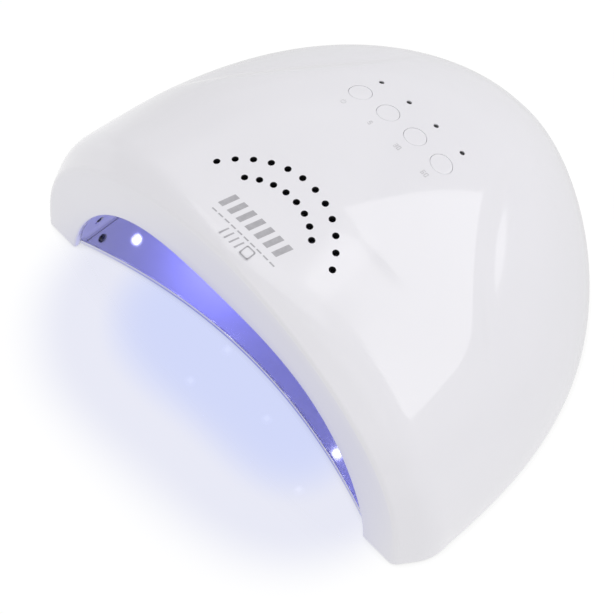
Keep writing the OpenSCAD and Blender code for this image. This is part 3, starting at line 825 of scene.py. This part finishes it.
def build_liner():
    rings, cols = 60, 141
    inner = liner_rows(0, rings, cols)
    outer = liner_rows(LINER_T, rings, cols)
    count = len(inner)
    points = np.concatenate([np.array(inner), np.array(outer[::-1])]).reshape(-1, 3)
    faces = grid_faces(count, cols) + grid_faces(count, cols, first=count * cols)
    last = (2 * count - 1) * cols
    faces += [(last + i, last + i + 1, i + 1, i) for i in range(cols - 1)]
    for i in (0, cols - 1):
        for j in range(count - 1):
            a, b = j * cols + i, (2 * count - 1 - j) * cols + i
            faces.append((a, a + cols, b - cols, b))
    dome = make_mesh("dome", points, faces)
    whole = apply_boolean(dome, flange_prism(), "UNION")
    cutters = []
    zones = []
    mouth = [(0, -5), (LENS_R + 0.1, -5), (LENS_R + 0.1, -0.4), (LENS_R + 0.25, -0.15),
             (LENS_R + 1.0, 0.6), (0, 0.6)]
    for y, angles in LED_ROWS:
        for degrees in angles:
            cutters.append(solid_of_turn(mouth, on_liner(y, degrees), 40))
            zones.append(liner_frame(y, degrees)[0])
    hole = [(0, -6), (SENSOR_R + 0.1, -6), (SENSOR_R + 0.1, -0.2), (SENSOR_R + 0.4, 0.6), (0, 0.6)]
    for degrees in (SENSOR_ANGLE, 180 - SENSOR_ANGLE):
        cutters.append(solid_of_turn(hole, on_liner(SENSOR_Y, degrees), 40))
        zones.append(liner_frame(SENSOR_Y, degrees)[0])
    cut = apply_boolean(whole, make_mesh("liner_cutters", *join_solids(cutters)))
    shade(cut, 35)
    keep_skin_normals(cut, dome, zones, 8)
    return add_piece("liner_dome", cut, "lamp", "liner_white", FINISHES["liner_white"], "reflector_liner")


# Added to a point's distance from every lens but its own
FAR = 100.0


def build_lenses():
    """Low domes over square dies; each point also carries its square distance from its die's middle."""
    solids = []
    for y, angles in LED_ROWS:
        for degrees in angles:
            dome = [(LENS_R * 0.98 * math.sin(t), 0.05 + 0.75 * math.cos(t))
                    for t in np.radians(np.arange(0, 91, 15))]
            body = dome + [(LENS_R * 0.98, -LINER_T), (0, -LINER_T)]
            solids.append(solid_of_turn(body, on_liner(y, degrees), 36))
    mesh = make_mesh("lens_domes", *join_solids(solids))
    sites = [liner_frame(y, degrees) for y, angles in LED_ROWS for degrees in angles]
    spots = np.array([v.co for v in mesh.vertices]) / MM
    away = []
    for origin, side, up, _ in sites:
        offset = spots - origin
        square = np.maximum(np.abs(offset @ side), np.abs(offset @ up))
        away.append(square + FAR * (np.linalg.norm(offset, axis=1) > 2 * LENS_R))
    reach = mesh.attributes.new(REACH, "FLOAT", "POINT")
    reach.data.foreach_set("value", (np.min(away, axis=0) / LENS_R).astype(np.float32))
    return add_piece("lens_domes", mesh, "lamp", "lens_violet", FINISHES["lens_violet"], "led_lenses")


# ---- Floor plate and feet -------------------------------------------------------------------------
# Narrow strips that keep the plate's flat part flat up to its rounded edges
SHEET_HEM = 0.12


def build_plate():
    """Polished sheet with a rolled lip along its curved front edge."""
    low = cad_corner("floor_plate", 0)[2]
    ys = Y_WIDE + (LINER_BACK + PLATE_MARGIN - Y_WIDE) * closing(np.linspace(0, 1, 400))
    halves = np.minimum(PLATE_HALF, liner_half(ys, PLATE_MARGIN))
    columns = 96
    across = PLATE_HALF * np.sin(np.linspace(-1, 1, columns + 1) * math.pi / 2)
    r = 0.3
    top = low + PLATE_T
    loops = []
    for x in across:
        start = Y_FRONT + FACE_T + PLATE_SAG * (1 - (x / PLATE_HALF) ** 2)
        end = float(np.interp(-abs(x), -halves, ys))
        crest = low + PLATE_LIP_H
        front = [(start + r - r * math.cos(t), low + r - r * math.sin(t))
                 for t in np.radians([90, 60, 30, 0])]
        roll = [(start + 0.6 - 0.6 * math.cos(t), crest - 0.6 + 0.6 * math.sin(t))
                for t in np.radians(range(0, 181, 20))]
        foot = [(start + PLATE_LIP_W + r - r * math.cos(t), top + r - r * math.sin(t))
                for t in np.radians([0, 30, 60, 90])]
        toe = foot[-1][0]
        inner = end - 0.4
        sheet = [(toe + (inner - toe) * t, top) for t in np.linspace(0, 1, 40)[1:-1]]
        sheet = [(toe + SHEET_HEM, top)] + sheet + [(inner - SHEET_HEM, top), (inner, top)]
        tail = [(end - 0.4 + 0.4 * math.sin(t), low + 0.4 + 0.4 * math.cos(t))
                for t in np.radians(range(20, 181, 20))]
        loops.append([(x, y, z) for y, z in front + roll + foot + sheet + tail])
    points = np.array(loops)
    count = points.shape[1]
    faces = grid_faces(columns + 1, count, wrap=True)
    faces += [tuple(range(count)), tuple(columns * count + i for i in range(count))]
    mesh = make_mesh("steel_plate", points, faces)
    return add_piece("steel_plate", mesh, "plate", "plate_steel", FINISHES["plate_steel"], "floor_plate")


REAR_FOOT_X = 72.5


def build_feet():
    """Moulded feet with a rounded edge and a shallow dish underneath."""
    low, high = cad_corner("rubber_feet", 0), cad_corner("rubber_feet", 1)
    radius = 5.0
    tall = high[2] - low[2]
    front = (high[0] - radius, low[1] + radius)
    back = (REAR_FOOT_X, high[1] - radius)
    profile = [(0, tall), (radius - 0.1, tall), (radius, tall - 0.1), (radius, 0.6)]
    profile += arc((radius - 0.6, 0.6), 0.6, -20, -90, 4)
    profile += [(radius - 1.4, 0), (radius - 1.8, 0.25), (0, 0.3)]
    solids = []
    for x, y in (front, back):
        for side in (-1, 1):
            def place(u, v, height, x=side * x, y=y):
                return np.stack([x + u, y + v, height], -1)
            solids.append(solid_of_turn(profile, place, 40))
    mesh = make_mesh("moulded_feet", *join_solids(solids))
    return add_piece("moulded_feet", mesh, "lamp", "foot_rubber", FINISHES["foot_rubber"], "rubber_feet")


# ---- Printed marks --------------------------------------------------------------------------------
INK_T = 0.05


def print_on_skin(rows, cols, place):
    """A thin closed sheet of ink over a grid of (x, y) places on the skin."""
    x, y = place(*np.meshgrid(np.linspace(0, 1, cols), np.linspace(0, 1, rows)))
    spots = np.stack([x, y, skin_z(x, y)], -1)
    n = skin_normal(x, y)
    points = np.concatenate([(spots + INK_T * n).reshape(-1, 3), (spots - INK_T * n).reshape(-1, 3)])
    count = rows * cols
    rim = [i for i in range(cols)]
    rim += [j * cols + cols - 1 for j in range(1, rows)]
    rim += [(rows - 1) * cols + i for i in range(cols - 2, -1, -1)]
    rim += [j * cols for j in range(rows - 2, 0, -1)]
    faces = grid_faces(rows, cols) + grid_faces(rows, cols, first=count)
    for a, b in zip(rim, rim[1:] + rim[:1]):
        faces.append((a, b, b + count, a + count))
    return points, faces


def slanted_bar(x, y, wide, tall, lean):
    return print_on_skin(8, 4, lambda s, t: (x + wide * s + lean * t, y + tall * t))


def ring_mark(x, y, radius, stroke, start, end, steps=40):
    """Part of a ring; start and end are in degrees from +X."""
    def place(s, t):
        turn = np.radians(start + (end - start) * s)
        r = radius + stroke * (t - 0.5)
        return x + r * np.cos(turn), y + r * np.sin(turn)
    return print_on_skin(3, steps, place)


def rounded_square(x, y, half, stroke):
    """Outline of a square with rounded corners."""
    parts = []
    for k in range(4):
        turn = math.radians(90 * k)

        def place(s, t, turn=turn):
            out = half + stroke * (t - 0.5)
            bend = np.clip(np.abs(2 * s - 1) - 0.7, 0, 1) / 0.3
            u = out - 0.18 * half * bend ** 2
            v = out * (2 * s - 1) * (1 - 0.04 * bend)
            return x + u * np.cos(turn) - v * np.sin(turn), y + u * np.sin(turn) + v * np.cos(turn)
        parts.append(print_on_skin(3, 24, place))
    return parts


# Seven-segment strokes: each digit lists its lit segments, with segments as (x, y, horizontal)
SEGMENTS = {"top": (0, 2, True), "mid": (0, 1, True), "low": (0, 0, True), "left_up": (0, 1, False),
            "right_up": (1, 1, False), "left_low": (0, 0, False), "right_low": (1, 0, False)}
DIGITS = {
    "0": ("top", "low", "left_up", "right_up", "left_low", "right_low"),
    "3": ("top", "mid", "low", "right_up", "right_low"),
    "5": ("top", "mid", "low", "left_up", "right_low"),
    "6": ("top", "mid", "low", "left_up", "left_low", "right_low"),
}


def digit_marks(text, x, y, tall, stroke):
    """Plain stroke digits, centred on x."""
    wide = tall * 0.5
    pitch = wide + stroke * 2.6
    left = x - (pitch * len(text) - stroke * 2.6) / 2
    parts = []
    for i, char in enumerate(text):
        for segment in DIGITS[char]:
            sx, sy, flat = SEGMENTS[segment]
            px = left + i * pitch + sx * wide
            py = y + sy * tall / 2
            w = (wide + stroke, stroke) if flat else (stroke, tall / 2 + stroke)
            parts.append(print_on_skin(4, 4, lambda s, t, px=px, py=py, w=w: (
                px - stroke / 2 + w[0] * s, py - stroke / 2 + w[1] * t)))
    return parts


def build_marks():
    """A generic striped mark in front of the vents."""
    parts = [slanted_bar(-16.0 + 4.75 * i, -65.3, 2.5, 6.9, 1.6) for i in range(7)]
    parts += [slanted_bar(-15.6 + 3.4 * i, -68.6, 2.4, 0.55, 0.1) for i in range(10)]
    parts += [slanted_bar(-6.0 + 2.7 * i, -73.8, 0.65, 3.9, 0.9) for i in range(4)]
    parts += rounded_square(7.2, -71.8, 2.0, 0.5)
    mesh = make_mesh("striped_mark", *join_solids(parts))
    return add_piece("striped_mark", mesh, "lamp", "black_plastic", INK)


def build_labels():
    """A power symbol and the three times in seconds, in front of the buttons."""
    parts = []
    parts.append(ring_mark(BUTTONS["button_power"], LABEL_Y, 0.95, 0.26, 120, 420))
    parts.append(slanted_bar(BUTTONS["button_power"] - 0.13, LABEL_Y + 0.15, 0.26, 1.15, 0))
    for node, text in (("button_short", "5"), ("button_medium", "30"), ("button_long", "60")):
        parts += digit_marks(text, BUTTONS[node], LABEL_Y - 0.9, 1.8, 0.26)
    mesh = make_mesh("button_labels", *join_solids(parts))
    return add_piece("button_labels", mesh, "lamp", "black_plastic", PALE_INK)


# ---- Stage, light and camera ----------------------------------------------------------------------
# How far the painted pool of violet light reaches in front of the opening
GLOW_REACH = 77.0
# The floor's brightness for diffuse rays, and for mirrored ones in front of and behind the lamp
FLOOR_BOUNCE = 0.80
FLOOR_MIRRORED = (0.98, 0.75)
# How far the painted contact shadows reach
CONTACT_REACH = 5.0


def make_floor_finish():
    """White table with a painted pool of the lamp's violet light, fading out in front of the opening, and
    painted contact shadows. Seen from below, the table is clear."""
    material = bpy.data.materials.new("table")
    n = Nodes(material)
    place = n.add("ShaderNodeNewGeometry").outputs["Position"]
    axes = n.add("ShaderNodeSeparateXYZ", {"Vector": place})
    x, y = axes.outputs[0], axes.outputs[1]
    # Painted pool of violet light: a mask that is strongest in front of the opening
    across = n.math("DIVIDE", x, ARCH_HALF * 1.2 * MM)
    depth = n.math("DIVIDE", n.math("SUBTRACT", y, (Y_FRONT + 12) * MM), GLOW_REACH * MM)
    out = n.math("SQRT", n.math("ADD", n.math("POWER", n.math("ABSOLUTE", across), 3.6),
                                n.math("POWER", n.math("ABSOLUTE", depth), 2.0)))
    noise = n.ramp(n.noise(place, 9.0, 1.0), 0.3, 0.7, -0.03, 0.03)
    spill = n.ramp(n.math("ADD", out, noise), 1.12, 0.12)
    spill = n.math("MULTIPLY", spill, n.math("LESS_THAN", y, 0.0))
    faint = n.mix(n.ramp(spill, 0.0, 0.55), (1, 1, 1, 1), (0.80, 0.81, 0.91, 1))
    base = n.mix(n.ramp(spill, 0.7, 1.0), faint, (0.64, 0.69, 0.945, 1))
    # Painted contact shadow: ambient occlusion darkens the floor's emission
    near = n.add("ShaderNodeAmbientOcclusion", {"Distance": CONTACT_REACH * MM}, samples=8).outputs["AO"]
    shadow = n.math("MULTIPLY", n.ramp(near, 0.25, 0.75, 0.80, 1.0), n.ramp(near, 0.0, 0.3, 0.25, 1.0))
    seen = n.add("ShaderNodeEmission", {"Color": base, "Strength": shadow}).outputs[0]
    # Rays bounced off the floor carry the painted violet pool as well
    lit = n.mix(spill, (1, 1, 1, 1), (0.26, 0.29, 0.85, 1))
    paths = n.add("ShaderNodeLightPath")
    mirrored = n.ramp(y, -60 * MM, 60 * MM, FLOOR_MIRRORED[0], FLOOR_MIRRORED[1])
    level = n.ramp(paths.outputs["Is Glossy Ray"], 0, 1, FLOOR_BOUNCE, mirrored, smooth=False)
    bounced = n.add("ShaderNodeEmission", {"Color": lit, "Strength": level}).outputs[0]
    path = paths.outputs["Is Camera Ray"]
    pick = n.add("ShaderNodeMixShader")
    n.put(pick, 0, path)
    n.put(pick, 1, bounced)
    n.put(pick, 2, seen)
    gloss = n.add("ShaderNodeBsdfGlossy", {"Color": (0.01, 0.01, 0.01, 1), "Roughness": 0.03})
    both = n.add("ShaderNodeAddShader")
    n.put(both, 0, pick.outputs[0])
    n.put(both, 1, gloss.outputs[0])
    side = n.add("ShaderNodeMixShader")
    n.put(side, 0, n.add("ShaderNodeNewGeometry").outputs["Backfacing"])
    n.put(side, 1, both.outputs[0])
    n.put(side, 2, n.add("ShaderNodeBsdfTransparent").outputs[0])
    n.add("ShaderNodeOutputMaterial", {"Surface": side.outputs[0]})
    return material


def build_floor():
    reach = 4.0
    mesh = bpy.data.meshes.new("floor")
    low = -0.02 * MM
    corners = [(-reach, -reach, low), (reach, -reach, low), (reach, reach, low), (-reach, reach, low)]
    mesh.from_pydata(corners, [], [(0, 1, 2, 3)])
    mesh.materials.append(make_floor_finish())
    floor = bpy.data.objects.new("floor", mesh)
    bpy.context.scene.collection.objects.link(floor)


def direction(azimuth, elevation):
    a, e = math.radians(azimuth), math.radians(elevation)
    return Vector((math.sin(a) * math.cos(e), -math.cos(a) * math.cos(e), math.sin(e)))


def soft_box(n, way, azimuth, elevation, edges, blur, strength):
    """Brightness of one studio soft box in the sky. Each edge is the turn of its outward direction
    from the box's right, in degrees, and its distance from the box's middle, as a tangent."""
    centre = direction(azimuth, elevation)
    right = centre.cross(Vector((0, 0, 1))).normalized()
    up = right.cross(centre)

    def along_axis(axis):
        product = n.add("ShaderNodeVectorMath", {0: way, 1: tuple(axis)}, operation="DOT_PRODUCT")
        return product.outputs["Value"]

    ahead = along_axis(centre)
    mask = n.ramp(ahead, 0.0, 0.05)
    for turn, reach in edges:
        outward = right * math.cos(math.radians(turn)) + up * math.sin(math.radians(turn))
        out = n.math("DIVIDE", along_axis(outward), n.math("MAXIMUM", ahead, 0.01))
        mask = n.math("MULTIPLY", mask, n.ramp(out, reach + blur, reach - blur))
    return n.math("MULTIPLY", mask, strength)


# Soft boxes: azimuth, elevation, edges, blur and strength
SOFT_BOXES = (
    (158, 38, ((195, 0.28), (75, 0.465), (56, 0.333), (0, 0.85), (270, 0.34)), 0.006, 1.25),
    (220, 62, ((0, 0.42), (90, 0.75), (180, 0.62), (287, 0.0)), 0.015, 0.42),
    (236, 38, ((0, 0.45), (90, 0.55), (180, 0.4), (270, 0.35)), 0.12, 0.25),
    (38, 38, ((0, 0.7), (90, 0.5), (180, 0.7), (270, 0.5)), 0.25, 0.40),
)


# Lights in the hand cavity: place in millimetres, and power
CAVITY_LIGHTS = ((-48, -38, 34, 0.042), (0, -42, 40, 0.004), (48, -38, 34, 0.026))


def build_light():
    world = bpy.data.worlds.new("studio")
    bpy.context.scene.world = world
    n = Nodes(world)
    way = n.add("ShaderNodeTexCoord").outputs["Generated"]
    height = n.add("ShaderNodeSeparateXYZ", {"Vector": way}).outputs[2]
    total = n.ramp(height, -0.1, 0.75, 0.83, 0.68)
    for box in SOFT_BOXES:
        total = n.math("ADD", total, soft_box(n, way, *box))
    seen = n.add("ShaderNodeLightPath").outputs["Is Camera Ray"]
    strength = n.add("ShaderNodeMix", data_type="FLOAT")
    n.put(strength, 0, seen)
    n.put(strength, 2, total)
    n.put(strength, 3, 1.0)
    back = n.add("ShaderNodeBackground", {"Color": (1.0, 0.995, 1.0, 1), "Strength": strength.outputs[0]})
    n.add("ShaderNodeOutputWorld", {"Surface": back.outputs[0]})
    for x, y, z, power in CAVITY_LIGHTS:
        lamp = bpy.data.lights.new("cavity_light", "POINT")
        lamp.energy = power
        lamp.color = (0.26, 0.26, 1.0)
        lamp.shadow_soft_size = 0.012
        obj = bpy.data.objects.new("cavity_light", lamp)
        obj.location = (x * MM, y * MM, z * MM)
        obj.visible_glossy = False
        bpy.context.scene.collection.objects.link(obj)


# Camera: azimuth and elevation, the point it looks at in millimetres, its distance in metres, its lens
CAMERA_WAY = (47.57, 60.78)
CAMERA_TARGET = (15.37, -50.83, 40.9)
CAMERA_AWAY = 0.7396
CAMERA_LENS = 114.8


def build_camera():
    data = bpy.data.cameras.new("camera")
    data.lens = CAMERA_LENS
    data.sensor_width = 36.0
    camera = bpy.data.objects.new("camera", data)
    bpy.context.scene.collection.objects.link(camera)
    back = direction(*CAMERA_WAY)
    camera.location = Vector(CAMERA_TARGET) * MM + back * CAMERA_AWAY
    camera.rotation_mode = "QUATERNION"
    camera.rotation_quaternion = (-back).to_track_quat("-Z", "Y")
    data.clip_start = 0.05
    data.clip_end = 20
    bpy.context.scene.camera = camera
    bpy.context.scene.view_settings.view_transform = "Standard"


finish_cad_nodes()
build_casing()
for button, button_x in BUTTONS.items():
    build_button(button, button_x)
build_windows()
build_liner()
build_lenses()
build_plate()
build_feet()
build_marks()
build_labels()
build_floor()
build_light()
build_camera()
